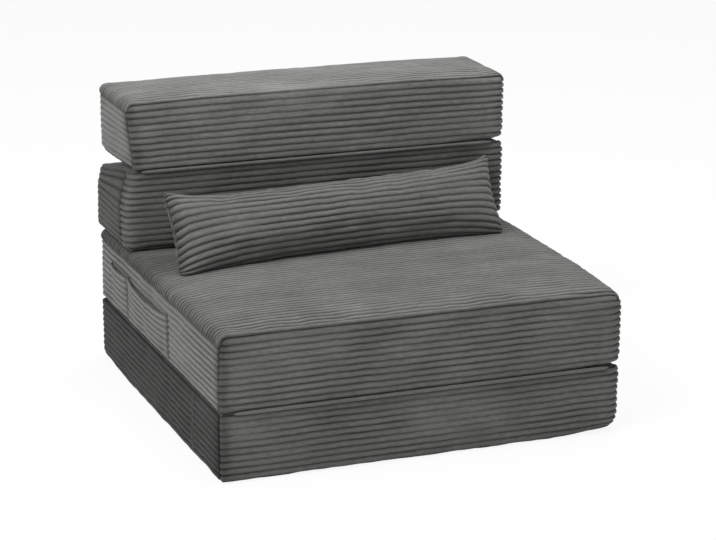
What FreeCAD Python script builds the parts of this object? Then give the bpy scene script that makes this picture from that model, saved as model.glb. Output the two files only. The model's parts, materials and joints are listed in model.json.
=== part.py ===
import FreeCAD, Part
import math
import os

# A folding floor chair: four foam blocks in sewn covers, hinged in a zigzag, and one loose pillow.
# Millimetres. X runs across the seat, Y from the front to the rear and Z up.
# The origin is on the floor, under the middle of the seat blocks.

os.makedirs("parts", exist_ok=True)

# The four blocks
WIDTH = 760.0
SEAT_DEPTH = 740.0
LOWER_BACK_DEPTH = 212.0
UPPER_BACK_DEPTH = 198.0
LOWER_SEAT_HEIGHT = 125.0
UPPER_SEAT_HEIGHT = 142.0
LOWER_BACK_HEIGHT = 153.0
UPPER_BACK_HEIGHT = 135.0
SEAT_CROWN = 8.0
TOP_CROWN = 5.0
DRAWN_IN = 3.0
HINGE_DRAWN_IN = 1.5
CROWN_CLEAR = 8.0
LEAST_RISE = 0.02
# Rings of a crowned face: how far in from its border, and how high, as shares of the whole
CROWN_RINGS = [(0.2, 0.4), (0.45, 0.78), (0.75, 1.0)]

# Rounded edges
CORNER_RADIUS = 24.0
HINGE_EDGE = 6.0
STACKED_EDGE = 12.0
FLOOR_EDGE = 16.0
OPEN_EDGE = 18.0
WEDGE_EDGE = 26.0
LEAST_EDGE = 1.5
LEAST_CORNER = 6.0
ARC_STEPS = 4

# Layers from the outside in
COVER = 3.0
LINER = 0.8
LAYER_GAP = 0.3
STACK_GAP = 0.3

# Seams of a cover
TOP_SEAM_DROP = 20.0
BOTTOM_SEAM_RISE = 8.0
SIDE_SEAM_WRAP = 28.0

# Hinge welts
WELT_GAP = 0.4
WELT_END = 24.0
AXIS_PROUD = 0.2

# Zips
ZIP_END = 6.0
ZIP_TAPE = 10.0
ZIP_FIT = 0.2
COIL_RADIUS = 2.0
COIL_PROUD = 1.6
SLIDER_LENGTH = 11.0
SLIDER_WIDTH = 9.0
SLIDER_WALL = 1.2
SLIDER_GAP = 0.3
SLIDER_LUG = 1.2

# Side pockets of the upper seat
POCKET_PROUD = 9.0
POCKET_WALL = 2.0
POCKET_TOP_DROP = 48.0
POCKET_BOTTOM_RISE = 9.0
LARGE_POCKET_START = 283.0
LARGE_POCKET_WIDTH = 250.0
SMALL_POCKET_WIDTH = 112.0
POCKET_FIT = 0.2

# Pillow
PILLOW_LENGTH = 684.0
PILLOW_HEIGHT = 168.0
PILLOW_THICKNESS = 92.0
PILLOW_WAIST = 5.0
PILLOW_EVEN_LENGTH = 340.0
PILLOW_END_THICKNESS = 14.0
PILLOW_COVER = 2.5
PILLOW_LEAN = 40.0
PILLOW_YAW = 4.5
PILLOW_SHIFT = 6.0
PILLOW_GAP = 0.3
FILLING_GAP = 0.8
PILLOW_ZIP_LENGTH = 300.0
PILLOW_ZIP_DROP = 38.0
# Pillow sections from its even middle to its end, as shares of the length between
PILLOW_STATIONS = [0.0, 0.3, 0.55, 0.75, 0.9, 0.97, 1.0]
PILLOW_PROBES = 20

HALF = WIDTH / 2
FRONT = -SEAT_DEPTH / 2
REAR = SEAT_DEPTH / 2
BACK_FRONT = REAR - LOWER_BACK_DEPTH
UNDER_BACK = LOWER_BACK_DEPTH + CROWN_CLEAR
FAR = 3 * (WIDTH + SEAT_DEPTH)


def vec(x, y, z):
    return FreeCAD.Vector(x, y, z)


def box(low, high):
    """A box between two opposite corners."""
    size = [b - a for a, b in zip(low, high)]
    return Part.makeBox(size[0], size[1], size[2], vec(low[0], low[1], low[2]))


def band(low, high):
    """Everything between two heights."""
    return box((-FAR, -FAR, low), (FAR, FAR, high))


def rounded_outline(left, right, front, rear, radius, z):
    """A level rectangle with rounded corners: four lines and four quarter arcs."""
    centres = [
        (right - radius, front + radius),
        (right - radius, rear - radius),
        (left + radius, rear - radius),
        (left + radius, front + radius),
    ]
    corners = []
    for turn, (x, y) in enumerate(centres):
        points = []
        for part in range(3):
            angle = math.pi / 2 * (turn - 1 + part / 2)
            points.append(vec(x + radius * math.cos(angle), y + radius * math.sin(angle), z))
        corners.append(points)
    edges = []
    for turn in range(4):
        following = corners[(turn + 1) % 4]
        edges.append(Part.Arc(*corners[turn]).toShape())
        edges.append(Part.LineSegment(corners[turn][2], following[0]).toShape())
    return Part.Wire(edges)


def rounding_inset(radius, depth):
    """How far a rounded edge stands in at this depth from its face."""
    if depth >= radius:
        return 0.0
    return radius - math.sqrt(radius**2 - (radius - depth) ** 2)


class Block:
    """One foam block. Sides are in the order front, rear, left, right."""

    def __init__(
        self, name, front, depth, base, height, bottom_edges, top_edges, drawn_in, crown=0.0, covered=0.0
    ):
        self.name = name
        self.front = front
        self.rear = front + depth
        self.base = base
        self.height = height
        self.bottom_edges = bottom_edges
        self.top_edges = top_edges
        self.drawn_in = drawn_in
        self.crown = crown
        self.covered = covered

    @property
    def top(self):
        return self.base + self.height

    @property
    def middle(self):
        return self.base + self.height / 2

    def section(self, insets, z):
        left, right = -HALF + insets[2], HALF - insets[3]
        front, rear = self.front + insets[0], self.rear - insets[1]
        radius = max(CORNER_RADIUS - max(insets), LEAST_CORNER)
        return rounded_outline(left, right, front, rear, radius, z)

    def levels(self, low, high, bottom, top):
        """Heights of the sections: two rounded edges and the middle."""
        rises = [1 - math.cos(math.pi / 2 * step / ARC_STEPS) for step in range(ARC_STEPS + 1)]
        heights = [low + max(bottom) * rise for rise in rises]
        heights.append((low + high) / 2)
        heights += [high - max(top) * rise for rise in reversed(rises)]
        return heights

    def solid(self, skin):
        """The block's form, drawn in all round by the thickness of what lies outside it."""
        low, high = self.base + skin, self.top - skin
        bottom = [max(edge - skin, LEAST_EDGE) for edge in self.bottom_edges]
        top = [max(edge - skin, LEAST_EDGE) for edge in self.top_edges]
        half = (high - low) / 2
        sections = []
        for z in self.levels(low, high, bottom, top):
            away = ((z - low - half) / half) ** 2
            insets = []
            for side in range(4):
                rounding = max(rounding_inset(bottom[side], z - low), rounding_inset(top[side], high - z))
                insets.append(skin + rounding + self.drawn_in[side] * away)
            sections.append(self.section(insets, z))
        if self.crown:
            sections += self.crown_sections(insets, high)
        return Part.makeLoft(sections, True, True)

    def crown_sections(self, border, high):
        """Level rings over the top face, each higher and smaller, clear of what stands on it."""
        start = list(border)
        start[1] = max(start[1], self.covered)
        rings = []
        if self.covered:
            rings.append(self.section(start, high + LEAST_RISE))
        free_depth = self.rear - self.front - start[0] - start[1]
        for run, rise in CROWN_RINGS:
            insets = [side + run * free_depth / 2 for side in start]
            rings.append(self.section(insets, high + self.crown * rise))
        return rings


LOWER_SEAT_BASE = 0.0
UPPER_SEAT_BASE = LOWER_SEAT_BASE + LOWER_SEAT_HEIGHT + STACK_GAP
LOWER_BACK_BASE = UPPER_SEAT_BASE + UPPER_SEAT_HEIGHT + STACK_GAP
UPPER_BACK_BASE = LOWER_BACK_BASE + LOWER_BACK_HEIGHT + STACK_GAP

lower_seat = Block(
    "lower_seat",
    FRONT,
    SEAT_DEPTH,
    LOWER_SEAT_BASE,
    LOWER_SEAT_HEIGHT,
    bottom_edges=(FLOOR_EDGE, FLOOR_EDGE, FLOOR_EDGE, FLOOR_EDGE),
    top_edges=(HINGE_EDGE, STACKED_EDGE, STACKED_EDGE, STACKED_EDGE),
    drawn_in=(HINGE_DRAWN_IN, DRAWN_IN, DRAWN_IN, DRAWN_IN),
)
upper_seat = Block(
    "upper_seat",
    FRONT,
    SEAT_DEPTH,
    UPPER_SEAT_BASE,
    UPPER_SEAT_HEIGHT,
    bottom_edges=(HINGE_EDGE, STACKED_EDGE, STACKED_EDGE, STACKED_EDGE),
    top_edges=(OPEN_EDGE, HINGE_EDGE, OPEN_EDGE, OPEN_EDGE),
    drawn_in=(HINGE_DRAWN_IN, HINGE_DRAWN_IN, DRAWN_IN, DRAWN_IN),
    crown=SEAT_CROWN,
    covered=UNDER_BACK,
)
lower_back = Block(
    "lower_back",
    BACK_FRONT,
    LOWER_BACK_DEPTH,
    LOWER_BACK_BASE,
    LOWER_BACK_HEIGHT,
    bottom_edges=(STACKED_EDGE, HINGE_EDGE, STACKED_EDGE, STACKED_EDGE),
    top_edges=(HINGE_EDGE, OPEN_EDGE, STACKED_EDGE, STACKED_EDGE),
    drawn_in=(HINGE_DRAWN_IN, HINGE_DRAWN_IN, DRAWN_IN, DRAWN_IN),
)
upper_back = Block(
    "upper_back",
    BACK_FRONT,
    UPPER_BACK_DEPTH,
    UPPER_BACK_BASE,
    UPPER_BACK_HEIGHT,
    bottom_edges=(HINGE_EDGE, WEDGE_EDGE, STACKED_EDGE, STACKED_EDGE),
    top_edges=(OPEN_EDGE, OPEN_EDGE, OPEN_EDGE, OPEN_EDGE),
    drawn_in=(HINGE_DRAWN_IN, DRAWN_IN, DRAWN_IN, DRAWN_IN),
    crown=TOP_CROWN,
)
BLOCKS = [lower_seat, upper_seat, lower_back, upper_back]

parts = {}


def add_filling(block):
    """The foam and the thin liner bag that it slides in."""
    liner_skin = COVER + LAYER_GAP
    foam_skin = liner_skin + LINER + LAYER_GAP
    bag = block.solid(liner_skin).cut(block.solid(liner_skin + LINER))
    parts[block.name + "_liner"] = bag
    parts[block.name + "_foam"] = block.solid(foam_skin)


def add_cover(block):
    """Six sewn panels, which meet edge to edge at the seams."""
    shell = block.solid(0.0).cut(block.solid(COVER))
    top_seam = block.top - TOP_SEAM_DROP
    bottom_seam = block.base + BOTTOM_SEAM_RISE
    front_seam = block.front + SIDE_SEAM_WRAP
    rear_seam = block.rear - SIDE_SEAM_WRAP
    zones = {
        "top_panel": band(top_seam, FAR),
        "bottom_panel": band(-FAR, bottom_seam),
        "front_panel": box((-FAR, -FAR, bottom_seam), (FAR, front_seam, top_seam)),
        "rear_panel": box((-FAR, rear_seam, bottom_seam), (FAR, FAR, top_seam)),
        "left_panel": box((-FAR, front_seam, bottom_seam), (0, rear_seam, top_seam)),
        "right_panel": box((0, front_seam, bottom_seam), (FAR, rear_seam, top_seam)),
    }
    for panel, zone in zones.items():
        parts[block.name + "_" + panel] = shell.common(zone)


def slider_form():
    """A zip slider: a channel over the coil with a lug on its back.

    It stands on the face X = 0, runs along Y and is centred on Z."""
    reach = COIL_PROUD + SLIDER_GAP + SLIDER_WALL
    half_length, half_width = SLIDER_LENGTH / 2, SLIDER_WIDTH / 2
    hollow = COIL_RADIUS + SLIDER_GAP
    body = box((SLIDER_GAP, -half_length, -half_width), (reach, half_length, half_width))
    body = body.makeFillet(SLIDER_WALL, [edge for edge in body.Edges if runs_along_x(edge)])
    channel = box((0, -SLIDER_LENGTH, -hollow), (COIL_PROUD + SLIDER_GAP, SLIDER_LENGTH, hollow))
    lug = box((reach, -half_length / 2, -SLIDER_LUG), (reach + SLIDER_LUG, half_length / 2, SLIDER_LUG))
    return body.cut(channel).fuse(lug).removeSplitter()


def runs_along_x(edge):
    start, end = edge.Vertexes[0].Point, edge.Vertexes[-1].Point
    return not math.isclose(start.x, end.x)


def add_side_zip(block):
    """A coil zip let into the right panel, closed with its slider at the rear."""
    panel = block.name + "_right_panel"
    start = block.front + SIDE_SEAM_WRAP + ZIP_END
    end = block.rear - SIDE_SEAM_WRAP - ZIP_END
    half_tape = ZIP_TAPE / 2
    inside = HALF - 2 * COVER
    tape = box((inside, start, block.middle - half_tape), (FAR, end, block.middle + half_tape))
    slot = box(
        (inside, start - ZIP_FIT, block.middle - half_tape - ZIP_FIT),
        (FAR, end + ZIP_FIT, block.middle + half_tape + ZIP_FIT),
    )
    coil_middle = vec(HALF + COIL_PROUD - COIL_RADIUS, start, block.middle)
    coil = Part.makeCylinder(COIL_RADIUS, end - start, coil_middle, vec(0, 1, 0))
    parts[block.name + "_zip"] = parts[panel].common(tape).fuse(coil).removeSplitter()
    parts[panel] = parts[panel].cut(slot)
    slider = slider_form()
    slider.translate(vec(HALF, end - SLIDER_LENGTH / 2, block.middle))
    parts[block.name + "_zip_slider"] = slider


def add_hinge_welt(name, lower, upper, face_y, outward):
    """A rolled seam along the hinge line, in the groove between two rounded edges."""
    seam = (lower.top + upper.base) / 2
    axis_y = face_y + outward * AXIS_PROUD
    edge_y = AXIS_PROUD + HINGE_DRAWN_IN + HINGE_EDGE
    edge_z = (upper.base - lower.top) / 2 + HINGE_EDGE
    radius = math.hypot(edge_y, edge_z) - HINGE_EDGE - WELT_GAP
    start = vec(-HALF + WELT_END, axis_y, seam)
    parts[name] = Part.makeCylinder(radius, WIDTH - 2 * WELT_END, start, vec(1, 0, 0))
    print(name, "axis at y", round(axis_y, 3), "z", round(seam, 3), "radius", round(radius, 3))


def add_pocket(name, start, width):
    """A patch pocket on the left side of the upper seat, open at the top."""
    low = upper_seat.base + POCKET_BOTTOM_RISE
    high = upper_seat.top - POCKET_TOP_DROP
    outer = box((-HALF - POCKET_PROUD, start, low), (-HALF + DRAWN_IN, start + width, high))
    hollow = box(
        (-HALF - POCKET_PROUD + POCKET_WALL, start + POCKET_WALL, low + POCKET_WALL),
        (HALF, start + width - POCKET_WALL, high + POCKET_WALL),
    )
    beside = upper_seat.solid(0.0)
    beside.translate(vec(-POCKET_FIT, 0, 0))
    parts[name] = outer.cut(hollow).cut(beside)


def lens(x, height, thickness):
    """A pillow section at X: two arcs that meet in the seam at the top and bottom."""
    top, bottom = vec(x, 0, height / 2), vec(x, 0, -height / 2)
    rear, front = vec(x, thickness / 2, 0), vec(x, -thickness / 2, 0)
    return Part.Wire([Part.Arc(bottom, rear, top).toShape(), Part.Arc(top, front, bottom).toShape()])


def pillow_sections(skin):
    """X, height and thickness of the pillow's sections. The ends are full height and thin."""
    even = PILLOW_EVEN_LENGTH / 2
    end = PILLOW_LENGTH / 2 - skin
    sections = []
    for share in PILLOW_STATIONS:
        fullness = math.sqrt(1 - share**2)
        x = even + share * (end - even)
        height = PILLOW_HEIGHT - 2 * PILLOW_WAIST * fullness
        thickness = PILLOW_END_THICKNESS + (PILLOW_THICKNESS - PILLOW_END_THICKNESS) * fullness
        chord_loss = 2 * skin * height / thickness
        least = height / 2
        sections.append((x, max(height - chord_loss, least), thickness - 2 * skin))
    return [(-x, height, thickness) for x, height, thickness in reversed(sections)] + sections


def pillow_form(skin):
    wires = [lens(*section) for section in pillow_sections(skin)]
    return Part.makeLoft(wires, True, True)


def lean(point):
    """Turns a point of the upright pillow to its leaning place, before it is set down."""
    tilt, yaw = math.radians(PILLOW_LEAN), math.radians(PILLOW_YAW)
    x, y, z = point
    back = y * math.cos(tilt) + z * math.sin(tilt)
    up = z * math.cos(tilt) - y * math.sin(tilt)
    return (x * math.cos(yaw) - back * math.sin(yaw), x * math.sin(yaw) + back * math.cos(yaw), up)


def pillow_points():
    """Points over the pillow's surface, leaning, for setting it down."""
    points = []
    for x, height, thickness in pillow_sections(0.0):
        radius = (height**2 / 4 + thickness**2 / 4) / thickness
        reach = math.asin(min(1.0, height / 2 / radius))
        for step in range(-PILLOW_PROBES, PILLOW_PROBES + 1):
            angle = reach * step / PILLOW_PROBES
            out = radius * math.cos(angle) - (radius - thickness / 2)
            points.append(lean((x, out, radius * math.sin(angle))))
            points.append(lean((x, -out, radius * math.sin(angle))))
    return points


def seat_height(x, y):
    """Height of the seat's crowned top at a point in plan."""
    front_border = FRONT + OPEN_EDGE + HINGE_DRAWN_IN
    rear_border = REAR - UNDER_BACK
    side_border = HALF - OPEN_EDGE - DRAWN_IN
    free_depth = rear_border - front_border
    rise_at = [(0.0, 0.0)] + [(run * free_depth / 2, rise) for run, rise in CROWN_RINGS]
    inward = min(rear_border - y, y - front_border, side_border - abs(x))
    rise = 0.0
    for (near, low), (far, high) in zip(rise_at, rise_at[1:]):
        if inward > near:
            rise = low + (high - low) * min(1.0, (inward - near) / (far - near))
    return upper_seat.top + SEAT_CROWN * rise


def pillow_place():
    """Moves the leaning pillow back to the lower back's front face and down to the seat."""
    points = pillow_points()
    back = BACK_FRONT - PILLOW_GAP - max(y for x, y, z in points)
    down = max(seat_height(x + PILLOW_SHIFT, y + back) - z for x, y, z in points) + PILLOW_GAP
    return vec(PILLOW_SHIFT, back, down)


def set_down(shape, place):
    shape.rotate(vec(0, 0, 0), vec(1, 0, 0), -PILLOW_LEAN)
    shape.rotate(vec(0, 0, 0), vec(0, 0, 1), PILLOW_YAW)
    shape.translate(place)
    return shape


def add_pillow():
    """Filling, two panels and a zip across the lower part of the back panel."""
    place = pillow_place()
    shell = pillow_form(0.0).cut(pillow_form(PILLOW_COVER))
    front = shell.common(box((-FAR, -FAR, -FAR), (FAR, 0, FAR)))
    back = shell.common(box((-FAR, 0, -FAR), (FAR, FAR, FAR)))
    filling = pillow_form(PILLOW_COVER + FILLING_GAP)

    half_zip, half_tape = PILLOW_ZIP_LENGTH / 2, ZIP_TAPE / 2
    tape = box((-half_zip, 0, -PILLOW_ZIP_DROP - half_tape), (half_zip, FAR, -PILLOW_ZIP_DROP + half_tape))
    slot = box(
        (-half_zip - ZIP_FIT, 0, -PILLOW_ZIP_DROP - half_tape - ZIP_FIT),
        (half_zip + ZIP_FIT, FAR, -PILLOW_ZIP_DROP + half_tape + ZIP_FIT),
    )
    height = PILLOW_HEIGHT - 2 * PILLOW_WAIST
    radius = (height**2 / 4 + PILLOW_THICKNESS**2 / 4) / PILLOW_THICKNESS
    slope = math.asin(PILLOW_ZIP_DROP / radius)
    belly = radius * math.cos(slope) - (radius - PILLOW_THICKNESS / 2)
    out = vec(0, math.cos(slope), -math.sin(slope))
    on_belly = vec(0, belly, -PILLOW_ZIP_DROP)
    coil_start = on_belly + out * (COIL_PROUD - COIL_RADIUS) - vec(half_zip, 0, 0)
    coil = Part.makeCylinder(COIL_RADIUS, PILLOW_ZIP_LENGTH, coil_start, vec(1, 0, 0))
    zip_strip = back.common(tape).fuse(coil).removeSplitter()

    slider = slider_form()
    slider.rotate(vec(0, 0, 0), vec(0, 0, 1), 90)
    slider.rotate(vec(0, 0, 0), vec(1, 0, 0), -math.degrees(slope))
    slider.translate(on_belly - vec(half_zip - SLIDER_LENGTH / 2, 0, 0))

    parts["pillow_filling"] = set_down(filling, place)
    parts["pillow_front_panel"] = set_down(front, place)
    parts["pillow_back_panel"] = set_down(back.cut(slot), place)
    parts["pillow_zip"] = set_down(zip_strip, place)
    parts["pillow_zip_slider"] = set_down(slider, place)
    print("pillow set down at", [round(value, 3) for value in place])


for block in BLOCKS:
    add_filling(block)
    add_cover(block)
    add_side_zip(block)

add_hinge_welt("seat_hinge_welt", lower_seat, upper_seat, FRONT, -1)
add_hinge_welt("back_hinge_welt", upper_seat, lower_back, REAR, 1)
add_hinge_welt("top_hinge_welt", lower_back, upper_back, BACK_FRONT, -1)

add_pocket("large_pocket", FRONT + LARGE_POCKET_START, LARGE_POCKET_WIDTH)
add_pocket("small_pocket", FRONT + LARGE_POCKET_START + LARGE_POCKET_WIDTH, SMALL_POCKET_WIDTH)
add_pillow()

for name, shape in sorted(parts.items()):
    shape.exportStep("parts/" + name + ".step")
    print(name, len(shape.Solids), "solid,", round(shape.Volume), "mm3, valid", shape.isValid())
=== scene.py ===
# %% [markdown]
# # A folding floor chair
# Four foam blocks in wide corduroy covers, stacked and hinged in a zigzag, with a loose pillow on the
# seat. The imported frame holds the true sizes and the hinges. This lesson sews the covers over it:
# ridged cloth with turned-in seams, pockets, zips and a stuffed pillow, and then lights it the way a
# shop photo is lit.

import json
import math

import bpy
import numpy as np
from mathutils import Matrix, Vector

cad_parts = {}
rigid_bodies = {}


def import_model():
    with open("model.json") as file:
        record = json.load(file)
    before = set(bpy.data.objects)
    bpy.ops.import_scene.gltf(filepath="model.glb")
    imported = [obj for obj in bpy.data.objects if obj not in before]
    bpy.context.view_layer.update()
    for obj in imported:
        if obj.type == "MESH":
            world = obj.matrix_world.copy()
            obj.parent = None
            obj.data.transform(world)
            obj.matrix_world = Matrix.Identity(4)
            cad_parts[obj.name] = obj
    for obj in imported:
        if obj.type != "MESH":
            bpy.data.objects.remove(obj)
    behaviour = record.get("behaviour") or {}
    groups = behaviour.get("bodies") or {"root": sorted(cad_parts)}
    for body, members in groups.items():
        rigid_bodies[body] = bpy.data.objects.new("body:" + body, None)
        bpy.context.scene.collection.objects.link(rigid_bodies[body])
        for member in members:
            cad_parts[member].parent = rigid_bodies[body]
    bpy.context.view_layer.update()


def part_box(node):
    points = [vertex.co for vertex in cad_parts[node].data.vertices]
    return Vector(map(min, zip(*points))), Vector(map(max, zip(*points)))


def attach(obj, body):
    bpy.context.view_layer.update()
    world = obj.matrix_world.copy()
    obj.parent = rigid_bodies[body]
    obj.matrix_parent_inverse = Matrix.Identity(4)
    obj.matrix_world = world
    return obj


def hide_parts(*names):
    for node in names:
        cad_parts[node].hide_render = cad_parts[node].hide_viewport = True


for old in list(bpy.data.objects):
    bpy.data.objects.remove(old)
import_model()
MM = 0.001

# %% [markdown]
# ## The tools of the workshop
# Cloth is never quite even. A noise texture could move its points, but a sum of a few long waves is
# easier to steer: it gives a calm wandering value, and the same seed always gives the same cloth.
# `ease` is a soft step, used wherever one shape runs into another.

# %% Soft steps and wandering values
WAVE_COUNT = 8


def ease(low, high, x):
    t = np.clip((x - low) / (high - low), 0, 1)
    return t * t * (3 - 2 * t)


def waves(seed, longest, shortest):
    """A wandering value over a cloth, about -1 to 1."""
    draw = np.random.default_rng(seed)
    turn = draw.uniform(0, 2 * np.pi, WAVE_COUNT)
    phase = draw.uniform(0, 2 * np.pi, WAVE_COUNT)
    length = longest * (shortest / longest) ** np.linspace(0, 1, WAVE_COUNT)
    strength = np.sqrt(length / longest)

    def value(u, v):
        total = 0
        for t, p, n, s in zip(turn, phase, length, strength):
            total = total + s * np.sin(2 * np.pi * (u * np.cos(t) + v * np.sin(t)) / n + p)
        return 1.5 * total / strength.sum()

    return value


print("a quarter of the way up a soft step:", ease(0, 1, 0.25))

# %% [markdown]
# ## Lines of a net
# A cover is sewn from flat panels, and the foam fills it out to a box with soft edges. A bevelled cube
# could stand for that, but all its edges would be alike. Here a cover starts as a coarse net of lines
# drawn on a box, closer together near the edges, where the cloth bends. Each side has its own rounding,
# so an edge can be tight at a hinge and full where it is free.

# %% Lines and rounded edges
NET_STEP = 20.0
WIDEST_EDGE = 16.0
EDGE_SHARES = np.array([0.0, 0.3, 0.65, 1.1, 1.7])


def net_lines(low, high):
    near = min(WIDEST_EDGE, 0.1 * (high - low)) * EDGE_SHARES
    count = max(2, int(round((high - low - 2 * near[-1]) / NET_STEP)) + 1)
    inner = np.linspace(low + near[-1], high - near[-1], count)
    return np.concatenate([low + near[:-1], inner, (high - near[:-1])[::-1]])


def rounded(points, low, high, radius_low, radius_high):
    """Moves the knots of a sharp box onto the same box with round edges."""
    core = np.clip(points, low + radius_low, high - radius_high)
    away = points - core
    radius = np.where(away < 0, radius_low, radius_high)
    share = np.linalg.norm(away / radius, axis=1)
    return core + away / np.maximum(share, 1)[:, None]


def grid_quads(grid):
    return np.stack([grid[:-1, :-1], grid[:-1, 1:], grid[1:, 1:], grid[1:, :-1]], axis=-1).reshape(-1, 4)


print("lines across a side of 700 mm:", len(net_lines(0, 700)))

# %% [markdown]
# ## A net round a block
# The knots are numbered in a three-way grid, so that later steps can ask for one side, or for a strip
# that runs round an edge. A cube with a subdivision would be quicker to make, but it would lose that
# order. Knots that belong to two sides at once lie on an edge, and that is where the seams hold.


# %% The net
class Net:
    """A closed net round a block. ids[i, j, k] is the knot where lines i, j and k meet."""

    def __init__(self, low, high):
        self.low = low
        self.high = high
        lines = [net_lines(low[a], high[a]) for a in range(3)]
        shape = [len(line) for line in lines]
        place = np.indices(shape)
        border = np.zeros(shape, bool)
        for a in range(3):
            border |= (place[a] == 0) | (place[a] == shape[a] - 1)
        self.ids = np.full(shape, -1)
        self.ids[border] = np.arange(border.sum())
        self.sharp = np.stack([lines[a][place[a][border]] for a in range(3)], axis=1)
        self.on_low = np.isclose(self.sharp, low)
        self.on_high = np.isclose(self.sharp, high)
        self.held = (self.on_low | self.on_high).sum(axis=1) > 1
        ids = self.ids
        sides = [ids[0], ids[-1].T, ids[:, 0].T, ids[:, -1], ids[:, :, 0], ids[:, :, -1].T]
        self.faces = np.concatenate([grid_quads(side) for side in sides])


trial = Net(np.zeros(3), np.array([760.0, 740.0, 125.0]))
print("a block of", trial.high, "mm has", len(trial.sharp), "knots,", trial.held.sum(), "of them on edges")

# %% [markdown]
# ## From points to a piece
# Everything on the chair ends as a mesh with smooth shading. Blender's modelling operators could build
# one, but they work on what is selected, and thousands of points are quicker as lists. The lists are in
# millimetres, the way a maker measures, and the mesh is in metres.


# %% From points to a piece
def make_piece(name, points, faces):
    mesh = bpy.data.meshes.new(name)
    mesh.from_pydata((np.asarray(points) * MM).tolist(), [], np.asarray(faces).tolist())
    mesh.polygons.foreach_set("use_smooth", np.ones(len(mesh.polygons), bool))
    mesh.update()
    piece = bpy.data.objects.new(name, mesh)
    bpy.context.scene.collection.objects.link(piece)
    return piece


print("a list of", 1 / MM, "makes a mesh of 1 m")

# %% [markdown]
# ## Inflating the cloth
# A foam block fills its cover, so the cloth is pushed out from inside and held in along the seams. A
# formula could round the sides, but it would give them all the same even dome. Blender's cloth finds
# the form by itself, with a pressure and no gravity. The seams are pinned, and a weak pin on the rest
# stands for the foam behind it. The push is only a few millimetres, because foam is firm.

# %% The cloth simulation
CLOTH_STEPS = 16


def inflate(points, faces, hold, pressure, stiff, slack):
    """Lets the cloth of a closed net swell, and gives back where its knots end up."""
    piece = make_piece("cloth", points, faces)
    group = piece.vertex_groups.new(name="hold")
    for weight in np.unique(hold):
        group.add(np.flatnonzero(hold == weight).tolist(), float(weight), "REPLACE")
    cloth = piece.modifiers.new("Cloth", "CLOTH")
    settings = cloth.settings
    settings.quality = 6
    settings.mass = 0.4
    settings.tension_stiffness = stiff
    settings.compression_stiffness = stiff
    settings.shear_stiffness = stiff / 2
    settings.bending_stiffness = 2
    settings.air_damping = 5
    settings.use_pressure = True
    settings.uniform_pressure_force = pressure
    settings.effector_weights.gravity = 0
    settings.vertex_group_mass = "hold"
    settings.shrink_min = -slack
    settings.shrink_max = -slack
    cloth.point_cache.frame_start = 1
    cloth.point_cache.frame_end = CLOTH_STEPS
    for step in range(1, CLOTH_STEPS + 1):
        bpy.context.scene.frame_set(step)
    swollen = piece.evaluated_get(bpy.context.evaluated_depsgraph_get()).data
    flat = np.empty(len(swollen.vertices) * 3)
    swollen.vertices.foreach_get("co", flat)
    mesh = piece.data
    bpy.data.objects.remove(piece)
    bpy.data.meshes.remove(mesh)
    bpy.context.scene.frame_set(1)
    return flat.reshape(-1, 3) / MM


print("cloth runs for", CLOTH_STEPS, "steps")

# %% [markdown]
# ## Sizes from the frame
# The frame holds each cover as six thin panels round its foam. Their sizes could be typed in once more,
# but two lists drift apart when one is changed. So the box of a block is read from its six panels.

# %% Sizes from the frame
PANELS = ["top", "bottom", "front", "rear", "left", "right"]


def block_box(name):
    corners = [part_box(f"{name}_{panel}_panel") for panel in PANELS]
    low = np.min([np.array(c[0]) for c in corners], axis=0) / MM
    high = np.max([np.array(c[1]) for c in corners], axis=0) / MM
    return low, high


print("lower seat from", *block_box("lower_seat"), "mm")

# %% [markdown]
# ## How a block is formed
# Each block starts from its box. The box could be inflated as it is, but then the ridges would stand
# outside the true size, so the net sits a ridge's height inside it. `room` says how far each side may
# swell, and the net starts that much further in. A side that rests on another block has almost none,
# and `full` lets a free side stand out past the box.

# %% Form a block
RIDGE = 2.5
SEAM_HOLD = 1.0
FOAM_HOLD = 0.06
LEAST_ROOM = 0.05
MOST_SINK = 0.7


def per_knot(values, points):
    """Three sizes, some of them functions of the place, as one row for each knot."""
    x, y, z = points.T
    filled = [v(x, y, z) if callable(v) else np.full(len(points), float(v)) for v in values]
    return np.stack(filled, axis=1)


def form_block(name, round_low, round_high, room, full, crown=0.0, free=None):
    low, high = block_box(name)
    high[2] -= crown
    room_low, room_high = np.array(room)
    full_low, full_high = np.array(full)
    net = Net(low + RIDGE + room_low - full_low, high - RIDGE - room_high + full_high)
    radius_low = per_knot(round_low, net.sharp)
    radius_high = per_knot(round_high, net.sharp)
    net.points = rounded(net.sharp, net.low, net.high, radius_low, radius_high)
    share = 2 * (net.sharp - net.low) / (net.high - net.low) - 1
    room = np.array([room_low, room_high], float)[:, None, :] * np.ones((2, len(share), 3))
    if crown:
        room[1, :, 2] += crown * free(*net.sharp.T)
    hold = np.where(net.held, SEAM_HOLD, FOAM_HOLD)
    push = inflate(net.points, net.faces, hold, pressure=0.3, stiff=30, slack=0.002) - net.points
    for end, sign, here in ((0, -1, net.on_low), (1, 1, net.on_high)):
        for a in range(3):
            loose = here[:, a] & ~net.held
            out = sign * push[loose, a]
            most = np.where(out > 0, np.maximum(room[end, loose, a], LEAST_ROOM), MOST_SINK)
            net.points[loose, a] += sign * most * np.tanh(out / most)
    net.name = name
    reach = net.points.max(axis=0) - net.points.min(axis=0)
    print(name, len(net.points), "knots", reach.round(1), "mm")
    return net


# %% [markdown]
# ## The seat blocks
# The two seat blocks are the widest. Their rounding could be one number, but sewn corners are never
# alike: those on the right are rounder than those on the left, and the floor edge is rounder at the
# rear. So a rounding may be a function of the place. The three values are for the sides left and right,
# front and rear, and bottom and top. The upper seat's crown rises only in front of the back, because
# the back rests flat on the rest of it.


# %% The seat
def near_right(x):
    return ease(230, 372, x)


def toward_front(y):
    return 1 - ease(-340, -150, y)


def before_the_back(x, y, z):
    return 1 - ease(75, 150, y)


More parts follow.
